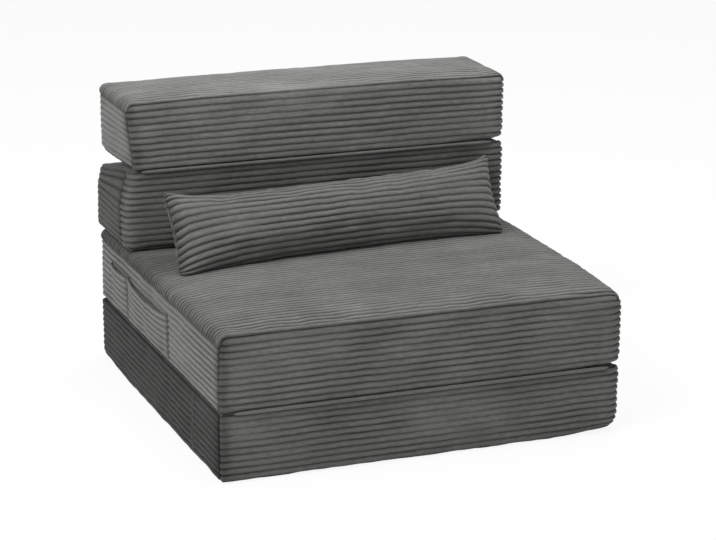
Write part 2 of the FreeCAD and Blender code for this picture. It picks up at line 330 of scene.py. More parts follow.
lower_seat = form_block(
    "lower_seat",
    round_low=(
        lambda x, y, z: 6 + 12 * ease(150, 372, y),
        lambda x, y, z: 5 + 22 * near_right(x),
        lambda x, y, z: 4 + 24 * near_right(x) + 14 * ease(150, 372, y),
    ),
    round_high=(26, 14, lambda x, y, z: 4 + 7 * near_right(x)),
    room=((2.0, 1.5, 0.0), (2.0, 2.0, 0.0)),
    full=((1.5, 0.0, 0.0), (7.0, 2.0, 0.0)),
)
upper_seat = form_block(
    "upper_seat",
    round_low=(
        lambda x, y, z: 6 + 12 * ease(190, 250, z) + 10 * ease(220, 372, y),
        lambda x, y, z: 7 + 20 * near_right(x),
        lambda x, y, z: 4 + 7 * near_right(x),
    ),
    round_high=(
        lambda x, y, z: 18 + 12 * toward_front(y),
        18,
        lambda x, y, z: 16 + 13 * near_right(x) * toward_front(y),
    ),
    room=((2.0, 1.5, 0.0), (2.5, 1.5, 0.0)),
    full=((1.5, 0.0, 0.0), (9.0, 0.0, 0.0)),
    crown=8.0,
    free=before_the_back,
)

# %% [markdown]
# ## The back blocks
# The two back blocks are formed the same way. On the chair they do not close like a box: they are drawn
# in at the left end of their hinge and gape a little at the rear, where the lower one sinks. The
# simulation could pull them there with threads, but moving the knots by soft steps is easier to steer
# and costs no time.

# %% The back
lower_back = form_block(
    "lower_back",
    round_low=(13, lambda x, y, z: 9 + 12 * near_right(x), lambda x, y, z: 14 - 5 * ease(200, 360, y)),
    round_high=(24, 13, lambda x, y, z: 5 + 8 * near_right(x)),
    room=((3.0, 1.5, 0.0), (2.5, 1.5, 0.0)),
    full=((8.0, 0.0, 0.0), (8.5, 0.0, 0.0)),
)
upper_back = form_block(
    "upper_back",
    round_low=(
        lambda x, y, z: 7 + 8 * ease(490, 540, z),
        lambda x, y, z: 7 + 16 * near_right(x),
        lambda x, y, z: 5 + 10 * ease(240, 350, y) + 8 * near_right(x),
    ),
    round_high=(lambda x, y, z: 24 - 8 * ease(480, 545, z), 20, 12),
    room=((2.0, 1.5, 0.0), (2.5, 2.5, 0.0)),
    full=((1.5, 0.0, 0.0), (8.5, 3.0, 0.0)),
    crown=5.0,
    free=lambda x, y, z: np.ones(len(x)),
)
x, y, z = upper_back.points.T.copy()
by_left = 1 - ease(-388, -290, x)
upper_back.points[:, 0] += 12 * (1 - ease(425, 540, z)) * by_left * (1 - 0.9 * ease(170, 330, y))
upper_back.points[:, 2] += 2 * ease(220, 380, y) * (1 - ease(425, 500, z)) * (1 - 0.7 * ease(-360, 0, x))
upper_back.points[:, 2] -= 3 * ease(430, 556, z) * ease(200, 385, np.abs(x))
x, y, z = lower_back.points.T.copy()
by_left = 1 - ease(-392, -290, x)
lower_back.points[:, 0] += 11 * ease(350, 418, z) * by_left * (1 - 0.4 * ease(165, 300, y))
lower_back.points[:, 2] -= 29 * ease(170, 372, y) * ease(340, 418, z) * (1 - 0.8 * ease(-330, -30, x))
BLOCKS = [lower_seat, upper_seat, lower_back, upper_back]
print("blocks", [block.name for block in BLOCKS])

# %% [markdown]
# ## Laying cloth on the net
# Cloth is cut flat and sewn round a form. An unwrapped mesh could give flat places too, but only after
# the panels are made. A chart is a stretch of the net drawn flat, where places are given in
# millimetres: `u` along the ridges and `v` across them. Between the knots it runs as a smooth curve, so
# that the coarse net does not show.


# %% Charts
def curve_weights(knots, x):
    x = np.clip(x, knots[0], knots[-1])
    i = np.clip(np.searchsorted(knots, x, side="right") - 1, 0, len(knots) - 2)
    h = knots[i + 1] - knots[i]
    t = (x - knots[i]) / h
    far = t * t * (3 - 2 * t)
    return i, (1 - far, t * (1 - t) ** 2 * h), (far, t * t * (t - 1) * h)


def run_length(line):
    return np.concatenate([[0], np.cumsum(np.linalg.norm(np.diff(line, axis=0), axis=1))])


class Chart:
    def __init__(self, points, first=0, last=-1):
        rows, columns = points.shape[:2]
        self.u = run_length(points[rows // 2])
        self.v = run_length(points[:, columns // 2])
        self.left = self.u[first]
        self.right = self.u[last]
        self.top = self.v[-1]
        self.points = points
        self.du = np.gradient(points, self.u, axis=1)
        self.dv = np.gradient(points, self.v, axis=0)
        self.duv = np.gradient(self.du, self.v, axis=0)

    def at(self, u, v):
        i, *along = curve_weights(self.u, u)
        j, *across = curve_weights(self.v, v)
        total = 0
        for m, (c, d) in enumerate(across):
            for n, (a, b) in enumerate(along):
                spot = (j + m, i + n)
                total = total + (c * a)[..., None] * self.points[spot] + (c * b)[..., None] * self.du[spot]
                total = total + (d * a)[..., None] * self.dv[spot] + (d * b)[..., None] * self.duv[spot]
        return total


front = Chart(lower_seat.points[lower_seat.ids[:, 0, :].T])
print("the lower seat's front is", front.u[-1].round(), "by", front.top.round(), "mm")

# %% [markdown]
# ## A chart for each panel
# A panel may reach round an edge: the upper seat's top runs over the side and is sewn a thumb's width
# below it. A chart of one side would end at the edge, and two charts would have to be matched there. So
# a chart takes a few lines of the next side with it, and remembers where its own side starts and ends.

# %% Charts of a block
WRAP = 6


def chart_of(block, panel):
    ids = block.ids
    low = slice(WRAP, 0, -1)
    high = slice(-WRAP - 1, -1)
    if panel == "top":
        parts = [ids[0, :, high], ids[:, :, -1].T, ids[-1, :, high][:, ::-1]]
    if panel == "bottom":
        parts = [ids[:, :, 0].T]
    if panel == "front":
        parts = [ids[0, low, :].T, ids[:, 0, :].T, ids[-1, 1 : WRAP + 1, :].T]
    if panel == "rear":
        parts = [ids[:, -1, :].T]
    if panel == "left":
        parts = [ids[0].T, ids[1 : WRAP + 1, -1, :].T]
    if panel == "right":
        parts = [ids[-1].T, ids[-2 : -WRAP - 2 : -1, -1, :].T]
    if panel in ("top", "front"):
        ends = (WRAP, -WRAP - 1)
    elif panel in ("left", "right"):
        ends = (0, -WRAP - 1)
    else:
        ends = (0, -1)
    return Chart(block.points[np.concatenate(parts, axis=1)], *ends)


print("the seat's top is", chart_of(upper_seat, "top").top.round(), "mm across its ridges")

# %% [markdown]
# ## Ridges and seams
# Wide corduroy has rounded ridges a finger's width apart with a narrow valley between them. A bump in
# the material would be lighter, but the ridges make the scalloped outline of the chair, so they are
# real shape. Every ridge gets a few rows of points, closer together at the valley. The columns crowd
# together near a seam, where the cloth rolls in, and a flap of two more goes on past it.

# %% Ridges and seams
RIDGE_ROWS = np.array([0.0, 0.05, 0.14, 0.3, 0.5, 0.7, 0.86, 0.95])
NEAR_SEAM = np.array([0.0, 1.5, 3.5, 6.0, 9.0, 13.0, 18.0, 25.0, 34.0])
PITCH = 12.0
FLAP = np.array([6.0, 2.0])
ROLL = 5.0


def rows_across(low, high):
    count = max(1, int(round((high - low) / PITCH)))
    rows = (np.arange(count)[:, None] + RIDGE_ROWS).ravel() * (high - low) / count + low
    return np.concatenate([low - FLAP, rows, [high], high + FLAP[::-1]]), count


def columns_along(low, high, step=11.0):
    reach = min(NEAR_SEAM[-1], (high - low) / 2)
    near = NEAR_SEAM[NEAR_SEAM < reach]
    count = max(2, int(round((high - low - 2 * reach) / step)) + 1)
    middle = np.linspace(low + reach, high - reach, count)
    return np.concatenate([low - FLAP, low + near, middle, (high - near)[::-1], high + FLAP[::-1]])


def grid_normals(points, outward):
    normal = np.cross(np.gradient(points, axis=1), np.gradient(points, axis=0))
    normal /= np.maximum(np.linalg.norm(normal, axis=2), 1e-9)[..., None]
    middle = normal[normal.shape[0] // 2, normal.shape[1] // 2]
    return normal if middle @ outward > 0 else -normal


def ridge(share):
    return 1 - np.abs(2 * (share % 1) - 1) ** 2.5


def rolled_in(inside, tuck):
    """How deep the cloth goes in, by its distance inside the seam."""
    near = np.clip(1 - inside / ROLL, 0, 1)
    return tuck * (1 - np.sqrt(1 - near**2) + 0.08 * np.clip(-inside, 0, 8))


print("ridges on 740 mm:", rows_across(0, 740)[1])

# %% [markdown]
# ## Spreading a panel
# Before it is sewn, a panel lies on its chart as an even grid of ridges. Straight rows would look like
# a machine part, so the rows wander by a millimetre or so, and least at the border, which is sewn down.
# Blender could work out the way off the cloth from a mesh, but there is none yet, so it is taken from
# the grid. Cloth past the end of its chart has no direction of its own. It takes that of its neighbour
# and goes straight in.

# %% Spread a panel
BORDER = 30.0


def spread(chart, area, outward, seed):
    """Places of a panel, where they lie, which way is out, and how far past the chart they are."""
    low_u, high_u, low_v, high_v = area
    rows = rows_across(low_v, high_v)[0]
    v, u = np.meshgrid(rows, columns_along(low_u, high_u), indexing="ij")
    wander = 1.4 * waves(seed, 520, 170)(u, v) + 0.45 * waves(seed + 6, 70, 16)(u, 0.3 * v)
    wander = wander * ease(0, BORDER, np.minimum(v - low_v, high_v - v))
    base = chart.at(u, v + wander)
    normal = grid_normals(base, np.asarray(outward, float))
    past_u = np.maximum(np.maximum(-u, u - chart.u[-1]), 0)
    past_v = np.maximum(np.maximum(-v, v - chart.v[-1]), 0)
    for edge, inner in ((slice(0, 2), slice(2, 3)), (slice(-2, None), slice(-3, -2))):
        normal[:, edge] = np.where(past_u[:, edge, None] > 0, normal[:, inner], normal[:, edge])
        normal[edge] = np.where(past_v[edge, :, None] > 0, normal[inner], normal[edge])
    return u, v, base, normal, past_u + past_v


print("rows wander except in the last", BORDER, "mm")

# %% [markdown]
# ## How high the cloth stands
# On worn corduroy no ridge is like the next: some valleys are brushed shut, some ridges are crushed,
# and the cloth puckers where thread pulls on it. A displacement modifier with a texture could do that,
# but here each place knows how far its seam is. Where cloth is gathered the ridges stand higher, and a
# `mark` presses them flat. How light the pile looks is worked out beside it: painted shade darkens it
# where the cloth rolls into a seam, and it is also darker at the ends of the ridges.

# %% Height and shade
PRESSED_RIDGE = 0.75
PUCKER_REACH = 16.0
END_DARK = 0.42
END_REACH = 17.0
SEAM_PAINTED_SHADE = 0.35
SEAM_REACH = 5.0


def ridges_at(u, v, area, gathered, seed, mark):
    """From 0 in an open valley to 1 on a crest."""
    low, high = area[2:]
    share = np.clip((v - low) / (high - low), 0, 1) * rows_across(low, high)[1]
    closed = np.clip(0.88 + 0.42 * waves(seed + 10, 260, 30)(0.4 * u, v), 0.2, 1.1)
    bump = 1 - (1 - ridge(share)) * closed
    if mark:
        bump = bump + (PRESSED_RIDGE - bump) * mark(u, v)
    return 1 - (1 - bump) * (0.6 + 0.4 * gathered)


def height_at(u, v, bump, gathered, depth, tuck, seed):
    height = RIDGE * gathered
    crushed = 1 + 0.2 * waves(seed + 1, 260, 60)(u, v) + 0.2 * waves(seed + 2, 60, 14)(0.35 * u, v)
    pucker = 0.9 * waves(seed + 3, 60, 22)(u, v) * np.exp(-np.clip(depth, 0, None) / PUCKER_REACH)
    calm = 0.5 * waves(seed + 4, 380, 110)(u, v)
    return np.minimum(height * bump * crushed + calm + pucker - rolled_in(depth, tuck), height * 1.05)


def shade_at(u, v, area, depth, nap, seed):
    stroked = 1 + 0.07 * waves(seed + 7, 240, 60)(u, v) + 0.09 * waves(seed + 8, 50, 13)(0.25 * u, v)
    from_end = np.minimum(u - area[0], area[1] - u) + 5 * waves(seed + 9, 60, 20)(u, v)
    shade = stroked * (nap(u, v) if callable(nap) else nap)
    # Painted shade: the pile is darker where the cloth rolls into a seam.
    shade = shade * (1 - SEAM_PAINTED_SHADE * np.exp(-np.clip(depth, 0, None) / SEAM_REACH))
    return shade * (1 - END_DARK * np.exp(-((np.clip(from_end, 0, None) / END_REACH) ** 2)))


print("a seam is darker by", SEAM_PAINTED_SHADE, "and a ridge's end by", END_DARK)

# %% [markdown]
# ## Sewing a panel
# A panel is sewn by lifting its places off the chart. At a seam the cloth rolls in and disappears
# between two panels, and a `slot` sinks it to make room for a zip. The panels could be joined into one
# mesh, but each stands for a panel of the frame, so they stay apart and only meet in the seams. The
# values that are left on the points tell the material how the pile lies and where painted shade darkens it.

# %% Sew a panel
TUCK = 4.5
SLOT_DEPTH = 9.0
SHOWN_PAST_SEAM = 9.0


def give(mesh, name, values):
    """Leaves a value on every point of a piece, for its material."""
    attribute = mesh.attributes.new(name, "FLOAT", "POINT")
    attribute.data.foreach_set("value", np.asarray(values, np.float32).ravel())


def sew(name, chart, area, inside, outward, seed, nap, tuck=TUCK, swell=None, mark=None, slot=None):
    u, v, base, normal, past = spread(chart, area, outward, seed)
    depth = inside(u, v) + 0.7 * waves(seed + 5, 120, 35)(u, v)
    gathered = swell(u, v) if swell else np.ones(u.shape)
    bump = ridges_at(u, v, area, gathered, seed, mark)
    lift = height_at(u, v, bump, gathered, depth, tuck, seed) - 0.5 * past
    if slot:
        lift = lift - (lift + SLOT_DEPTH) * slot(u, v)
    points = (base + normal * lift[..., None]).reshape(-1, 3)
    quads = grid_quads(np.arange(u.size).reshape(u.shape))
    quads = quads[(depth.ravel()[quads] > -SHOWN_PAST_SEAM).any(axis=1)]
    a, b, c, d = (points[quads[:, n]] for n in range(4))
    if (np.cross(c - a, d - b) * normal.reshape(-1, 3)[quads[:, 0]]).sum() < 0:
        quads = quads[:, ::-1]
    used, quads = np.unique(quads, return_inverse=True)
    piece = make_piece(name, points[used], quads.reshape(-1, 4))
    shade = shade_at(u, v, area, depth, nap, seed)
    for label, values in {"ridge": np.clip(bump, 0, 1), "shade": shade, "along": u, "across": v}.items():
        give(piece.data, label, values.ravel()[used])
    return piece


print("cloth is kept until", SHOWN_PAST_SEAM, "mm past a seam")

# %% [markdown]
# ## Finding a place on a side
# The frame says where each zip and pocket lies in space, but cloth is cut on charts. The nearest point
# of a mesh could be searched, but a side is nearly flat, so it is enough to read along one line and up
# another. Round a zip the cloth is sunk, with a soft step at its border.

# %% Places on a side
SLOT_EASE = 4.0


def place_on(chart, y, z):
    """Where a point of a block's side lies on its chart."""
    line = chart.points[chart.points.shape[0] // 2, : -WRAP - 1, 1]
    column = chart.points[:, chart.points.shape[1] // 2, 2]
    return np.interp(y, line, chart.u[: -WRAP - 1]), np.interp(z, column, chart.v)


def zip_slot(chart, node):
    low, high = (np.array(c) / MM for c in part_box(node))
    u0, v0 = place_on(chart, low[1], low[2])
    u1, v1 = place_on(chart, high[1], high[2])

    def sunk(u, v):
        past = np.maximum(np.maximum(u0 - u, u - u1), np.maximum(v0 - v, v - v1))
        return 1 - ease(0, SLOT_EASE, past)

    return sunk


print("the origin of the seat's side is at", np.round(place_on(chart_of(upper_seat, "left"), 0, 200)))

# %% [markdown]
# ## Cutting the panels of a block
# Six panels that meet on the edges would be simple, but on the real covers most seams lie beside an
# edge. The top panel reaches over both sides, the front panel turns the front corners, and the side
# panels turn the rear ones. `drop` is how far the top reaches down a side, `turn` how far the front
# reaches round each corner, and `joint` makes some seams shallow: the front's lower one, the front's
# upper one and the top's front one.

# %% Cut a panel
REAR_TURN = 22.0
OUTWARD = {
    "top": (0, 0, 1),
    "bottom": (0, 0, -1),
    "front": (0, -1, 0),
    "rear": (0, 1, 0),
    "left": (-1, 0, 0),
    "right": (1, 0, 0),
}


def within(u, v, area):
    """How far inside a rectangle a place is."""
    return np.minimum(np.minimum(u - area[0], area[1] - u), np.minimum(v - area[2], area[3] - v))


def cut(block, panel, drop, turn, joint, seed, nap, mark=None):
    chart = chart_of(block, panel)
    swell = None
    slot = None
    top = chart.top
    left = chart.left
    right = chart.right
    if panel == "top":
        area = (left - drop, right + drop, 0, top)
        if drop > 5:
            swell = lambda u, v: 1 + 0.8 * (1 - ease(-6, 26, u - left)) + 0.8 * ease(-26, 6, u - right)
        bound = lambda u, v: within(u, v + joint[2], (*area[:3], top + joint[2]))
    if panel == "bottom":
        area = (0, right, 0, top)
        bound = lambda u, v: within(u, v, area)
    if panel == "front":
        area = (left - turn[0], right + turn[1], 0, top)
        swell = lambda u, v: 1 + ease(right - 26, right + 8, u) + 0.6 * (1 - ease(0, 22, u - area[0]))

        def bound(u, v):
            beyond = np.maximum(left - u, u - right)
            upper = top + joint[1] - drop * ease(-1, 4, beyond)
            return within(u, v, (area[0], area[1], -joint[0], upper))

    if panel == "rear":
        area = (0, right, 0, top)

        def bound(u, v):
            turned = REAR_TURN * (1 - ease(-3, 3, v - (top - drop)))
            return within(u, v, (turned, right - turned, 0, top))

    if panel in ("left", "right"):
        area = (turn[0 if panel == "left" else 1], right + REAR_TURN, 0, top - drop)
        bound = lambda u, v: within(u, v, area)
    if panel == "right":
        slot = zip_slot(chart, block.name + "_zip")
    name = f"{block.name}_{panel}_cover"
    return sew(name, chart, area, bound, OUTWARD[panel], seed, nap, swell=swell, mark=mark, slot=slot)


print("side panels turn the rear corners by", REAR_TURN, "mm")

# %% [markdown]
# ## Sewing the covers
# Napped cloth looks lighter or darker with the way its pile lies, so neighbouring panels differ though
# they are the same cloth. A colour for each panel would do, but one number, its `nap`, keeps the cloth
# the same. The seat's top also gets painted shade beside the pillow and the back. The lower seat has an
# upright seam on its left side, which presses the ridges flat.

# %% Sew the covers
LEFT_SEAM = 146.0
SEAM_WIDTH = 2.2
CUTS = {
    "lower_seat": (0.5, (3.0, 20.0), (2.0, 2.5, 0.0)),
    "upper_seat": (17.0, (3.0, 20.0), (2.5, 1.2, 1.2)),
    "lower_back": (3.0, (26.0, 20.0), (0.0, 2.5, 0.0)),
    "upper_back": (14.0, (4.0, 20.0), (2.5, 1.6, 1.6)),
}


def seat_nap_and_painted_shade(u, v):
    """Pile tone of the seat's top, with painted shade towards the pillow and the back, most on the left."""
    return 0.87 * (1 - 0.26 * ease(290, 430, v) * (1 - 0.75 * ease(60, 460, u)))


NAPS = {
    "lower_seat": {"left": 0.43, "front": 0.73, "right": 0.8},
    "upper_seat": {"left": 0.82, "front": 0.8, "top": seat_nap_and_painted_shade, "right": 0.85},
    "lower_back": {"left": 0.65, "front": 0.73, "right": 0.8},
    "upper_back": {"left": 0.81, "front": 1.02, "top": 1.16, "right": 0.85},
}


def left_seam(v):
    """The upright seam, which is not quite straight."""
    return LEFT_SEAM + 1.5 * np.sin(v / 17)


covers = {}
for number, block in enumerate(BLOCKS):
    drop, turn, joint = CUTS[block.name]
    for panel in PANELS:
        mark = None
        if (block.name, panel) == ("lower_seat", "left"):
            mark = lambda u, v: np.exp(-(((u - left_seam(v)) / SEAM_WIDTH) ** 2))
        nap = NAPS[block.name].get(panel, 1.0)
        seed = 100 * number + 10 * PANELS.index(panel)
        covers[block.name, panel] = cut(block, panel, drop, turn, joint, seed, nap, mark)
print("covers", len(covers), "panels", sum(len(c.data.polygons) for c in covers.values()), "quads")

# %% [markdown]
# ## Foam and liner
# Inside every cover is a foam block in a thin liner bag, so that the cover slips on and off. They could
# be left out, because neither shows, but a cover with nothing in it would not be a cushion. Both are
# the block's own net, drawn in a little, so that they fit. The cover's panels hang on the foam.

# %% Fill the covers
CORE_INSET = 14.0
BAG_INSET = 11.0


def drawn_in(block, inset):
    middle = (block.points.min(axis=0) + block.points.max(axis=0)) / 2
    half = (block.points.max(axis=0) - block.points.min(axis=0)) / 2
    return middle + (block.points - middle) * (1 - inset / half)


def hang(piece, holder):
    """The piece goes wherever its holder goes."""
    bpy.context.view_layer.update()
    piece.parent = holder
    piece.matrix_parent_inverse = holder.matrix_world.inverted()


cores = {}
for block in BLOCKS:
    core = make_piece(block.name + "_core", drawn_in(block, CORE_INSET), block.faces)
    bag = make_piece(block.name + "_bag", drawn_in(block, BAG_INSET), block.faces)
    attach(core, block.name)
    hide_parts(block.name + "_foam")
    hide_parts(block.name + "_liner")
    hang(bag, core)
    cores[block.name] = core
    for panel in PANELS:
        cover = covers[block.name, panel]
        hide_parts(f"{block.name}_{panel}_panel")
        hang(cover, core)
print("cores", [c.name for c in cores.values()])

# %% [markdown]
# ## Hems and stitches
# A hemmed piece of cloth has a face, a back and a rim, so it is a closed sheet. Thread shows as a row
# of short dashes. A line in the material could draw them, but thread catches the light on its round
# back, so each stitch is a small spindle that dips into the cloth at both ends.


# %% Sheets and stitches
def closed_sheet(name, outer, inner):
    rows, columns = outer.shape[:2]
    grid = np.arange(rows * columns).reshape(rows, columns)
    back = grid + rows * columns
    rim = np.concatenate([grid[0], grid[1:, -1], grid[-1, -2::-1], grid[-2:0:-1, 0]])
    rim_back = rim + rows * columns
    edge = np.stack([rim, np.roll(rim, -1), np.roll(rim_back, -1), rim_back], axis=1)
    quads = np.concatenate([grid_quads(grid)[:, ::-1], grid_quads(back), edge])
    return make_piece(name, np.concatenate([outer.reshape(-1, 3), inner.reshape(-1, 3)]), quads)


STITCH_LENGTH = 3.6
STITCH_PITCH = 5.4
THREAD = 0.5
STITCH_RISE = 0.7


def stitch_row(name, path, outward, holder):
    """A row of thread stitches along a line of points, each one dipping into the cloth at its ends."""
    run = run_length(path)
    count = int(run[-1] / STITCH_PITCH)
    middle = (np.arange(count) + 0.5) * run[-1] / count
    t = np.array([0.0, 0.2, 0.5, 0.8, 1.0])
    spot = middle[:, None] + (t - 0.5) * STITCH_LENGTH
    line = np.stack([np.interp(spot, run, path[:, a]) for a in range(3)], axis=-1)
    along = line[:, -1] - line[:, 0]
    along /= np.linalg.norm(along, axis=1)[:, None]
    up = np.broadcast_to(np.asarray(outward, float), along.shape)
    across = np.cross(along, up)
    turn = np.linspace(0, 2 * np.pi, 6, endpoint=False)
    radius = THREAD * np.array([0.35, 0.85, 1.0, 0.85, 0.35])
    ring = np.cos(turn)[:, None, None] * across + np.sin(turn)[:, None, None] * up
    ring = np.swapaxes(ring, 0, 1)[:, None] * radius[None, :, None, None]
    rise = STITCH_RISE * np.sin(np.pi * t)
    points = line[:, :, None] + ring + rise[None, :, None, None] * up[:, None, None]
    grid = np.arange(points[..., 0].size).reshape(points.shape[:3])
    grid = np.concatenate([grid, grid[:, :, :1]], axis=2)
    piece = make_piece(name, points.reshape(-1, 3), np.concatenate([grid_quads(g) for g in grid]))
    hang(piece, holder)
    return piece


print("stitches every", STITCH_PITCH, "mm")

# %% [markdown]
# ## Side pockets
# Two patch pockets are sewn to the left side of the seat. Each is one piece of the same cloth with its
# ridges level, turned under at the sides and the bottom, and hemmed at the mouth. Raised panels on the
# side would look alike from afar, but they would have no mouth. So each pocket is a sheet of its own,
# laid on the side's chart, and its mouth hangs a little, which is what makes the dark slit along it,
# with painted shade on the inner face and along the turned-under edges.

# %% Sew the pockets
HEM = 11.5
POCKET_SEAM = 7.0
CLOTH = 2.2
POCKET_NAP = 0.8
seat_side = chart_of(upper_seat, "left")
stitches = []


def sew_pocket(node, sag, belly, seed):
    low, high = (np.array(c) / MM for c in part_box(node))
    u0, v0 = place_on(seat_side, low[1] + 1, low[2] + 1)
    u1, v1 = place_on(seat_side, high[1] - 1, high[2] + 1)
    rows, count = rows_across(0, v1 - v0)
    rows = rows[2:-2]
    columns = columns_along(0, u1 - u0, 8.0)[2:-2]
    up, along = np.meshgrid(rows, columns, indexing="ij")
    s = along / (u1 - u0)
    t = up / (v1 - v0)
    mouth = v1 - sag * (4 * s * (1 - s)) ** 0.8 + 1.2 * waves(seed, 130, 50)(along, 0 * along)
    v = v0 + t * (mouth - v0)
    base = seat_side.at(u0 + along, v)
    normal = grid_normals(base, np.array([-1.0, 0, 0]))
    bump = ridge(np.clip(t, 0, 0.9999) * count)
    full = belly * np.sin(np.pi * np.clip(s, 0, 1)) ** 0.7 * (0.2 + 0.8 * t**1.3)
    below = (1 - t) * (v1 - v0)
    hem = 0.9 * ease(12, 10, below) - 0.8 * np.exp(-(((below - HEM) / 1.2) ** 2))
    edge = np.minimum(np.minimum(along, u1 - u0 - along), up)
    near = np.clip(edge / POCKET_SEAM, 0, 1)
    turned = np.sqrt(1 - (1 - near) ** 2)
    out = (RIDGE + 1.2 + full + 1.7 * bump + hem + 0.6 * waves(seed + 1, 110, 40)(along, up)) * turned + 0.6
    under = np.maximum(out - CLOTH, 0.2)
    face = base + normal * out[..., None]
    piece = closed_sheet(node + "_cover", face, base + normal * under[..., None])
    # Painted shade: darker along the turned-under edges, and the back face, inside the pocket, at half the
    # tone.
    shade = POCKET_NAP * (1 - 0.3 * np.exp(-edge / 4))
    face_and_back_with_painted_shade = (shade, 0.5 * shade)
    values = {"ridge": (bump, bump), "shade": face_and_back_with_painted_shade, "along": (along, along), "across": (up, up)}
    for label, face_and_back in values.items():
        give(piece.data, label, np.stack(face_and_back))
    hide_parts(node)
    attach(piece, "upper_seat")
    hem_row = int(np.argmin(np.abs(below[:, 0] - HEM)))
    side = int(np.argmin(np.abs(columns - POCKET_SEAM)))
    lines = {"hem": face[hem_row, 2:-2], "front": face[2:-2, side], "rear": face[2:-2, -1 - side]}
    for name, path in lines.items():
        stitches.append(stitch_row(f"{node}_{name}_stitches", path, (-1, 0, 0), piece))
    return piece


pockets = [
    sew_pocket("large_pocket", sag=9.0, belly=5.0, seed=700),
    sew_pocket("small_pocket", sag=4.0, belly=4.0, seed=720),
]
print("pockets", [len(p.data.polygons) for p in pockets], "quads")

# %% [markdown]
# ## Thread on the upright seam
# The upright seam of the lower seat shows as a light line of thread. It could be painted on the cloth,
# but a row of the same stitches as on the pockets catches the light in the same way. It lies in the
# line that the seam has pressed into the ridges.

# %% Stitch the upright seam
SEAM_ENDS = 5.0
base_side = chart_of(lower_seat, "left")
rise = np.linspace(SEAM_ENDS, base_side.top - SEAM_ENDS, 40)
path = base_side.at(left_seam(rise), rise) - [0.8 * RIDGE, 0, 0]
stitches.append(stitch_row("lower_seat_left_stitches", path, (-1, 0, 0), covers["lower_seat", "left"]))
print("rows of stitches", len(stitches))

# %% [markdown]
# ## The pillow's form
# Two panels are sewn together round the edge and stuffed hard. The ends are blunt, the upper seam sags
# in the middle, the corners are small ears and the whole is a little skewed. Two flat sheets could be
# blown up by the simulation alone, but that makes thin ends and a narrow waist. So the form is drawn as
# two bowls that meet at the seam, and the simulation only swells and creases it a little.

# %% Stuff the pillow
PILLOW_COLUMNS = 65
PILLOW_ROWS = 23
PILLOW_HALF = np.array([333.0, 46.0, 81.5])
PILLOW_SKEW = 0.105
BACK_FULLNESS = 1.15
FIBRE_HOLD = 0.05
MOST_SWELL = 4.0


def crowded(count, power):
    """Numbers from -1 to 1 that lie closer together at both ends."""
    t = np.linspace(-1, 1, count)
    return np.sign(t) * (1 - (1 - np.abs(t)) ** power)


def pillow_cut():
    a, b, c = PILLOW_HALF
    s, t = np.meshgrid(crowded(PILLOW_COLUMNS, 1.7), crowded(PILLOW_ROWS, 1.4))
    corner = np.abs(s * t) ** 8
    blunt = 2.4 + 2 * np.abs(s) ** 6
    swell = b * (1 - np.abs(s) ** 8) ** 0.42 * (1 - np.abs(t) ** blunt) ** 0.5
    above = 0.79 + 0.29 * np.abs(s) ** 9
    below = 0.92 + 0.3 * np.abs(s) ** 3.3
    z = c * t * np.where(t > 0, above, below) * (1 - 0.09 * corner)
    ear = 0.02 * np.clip(t, 0, 1) ** 4 - 0.02 * corner
    x = a * s * (0.98 + 0.02 * t**2 + ear) + PILLOW_SKEW * z
    front = np.stack([x, -swell, z], axis=-1)
    back = np.stack([x, BACK_FULLNESS * swell, z], axis=-1)
    grid = np.arange(x.size).reshape(x.shape)
    border = np.ones(x.shape, bool)
    border[1:-1, 1:-1] = False
    other = np.where(border, grid, 0)
    other[1:-1, 1:-1] = x.size + np.arange((~border).sum()).reshape(PILLOW_ROWS - 2, PILLOW_COLUMNS - 2)
    points = np.concatenate([front.reshape(-1, 3), back[1:-1, 1:-1].reshape(-1, 3)])
    faces = np.concatenate([grid_quads(grid), grid_quads(other)[:, ::-1]])
    hold = np.full(len(points), FIBRE_HOLD)
    hold[grid[border]] = SEAM_HOLD
    return points, faces, hold, grid, other


points, faces, hold, pillow_front, pillow_back = pillow_cut()
push = inflate(points, faces, hold, pressure=0.6, stiff=20, slack=0.006) - points
points = points + MOST_SWELL * np.tanh(push / MOST_SWELL)
print("pillow has", len(points), "knots")

# %% [markdown]
# ## Setting the pillow down
# The pillow leans back on the seat, turned a little, with one end against the back. A second simulation
# could drop it there, but it would not land where the photo has it. It is turned and placed by given
# amounts, and its cloth is pressed flat where it would go into the seat or the back.

# %% Set the pillow down
PILLOW_SHIFT = np.array([-6.5, -12.0, -5.5])
PILLOW_LEAN = math.radians(-39)
PILLOW_YAW = math.radians(5.2)
PRESSED = 4.0
STUFFING_SHARE = [0.93, 0.8, 0.8]
STUFFING_ROOM = 6.0
PILLOW_ROOM = 0.4
pillow_low, pillow_high = (np.array(c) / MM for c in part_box("pillow_front_panel"))


def seat_level(x, y):
    """Top of the seat's ridges under a point."""
    ids = upper_seat.ids[:, :, -1]
    net = upper_seat.points
    rows = net[ids[ids.shape[0] // 2, :], 1]
    levels = np.array([np.interp(y, rows, net[line, 2]) for line in ids])
    lines = net[ids[:, ids.shape[1] // 2], 0]
    place = np.clip(np.searchsorted(lines, x) - 1, 0, len(lines) - 2)
    share = np.clip((x - lines[place]) / (lines[place + 1] - lines[place]), 0, 1)
    column = np.arange(len(x))
    return levels[place, column] * (1 - share) + levels[place + 1, column] * share + RIDGE


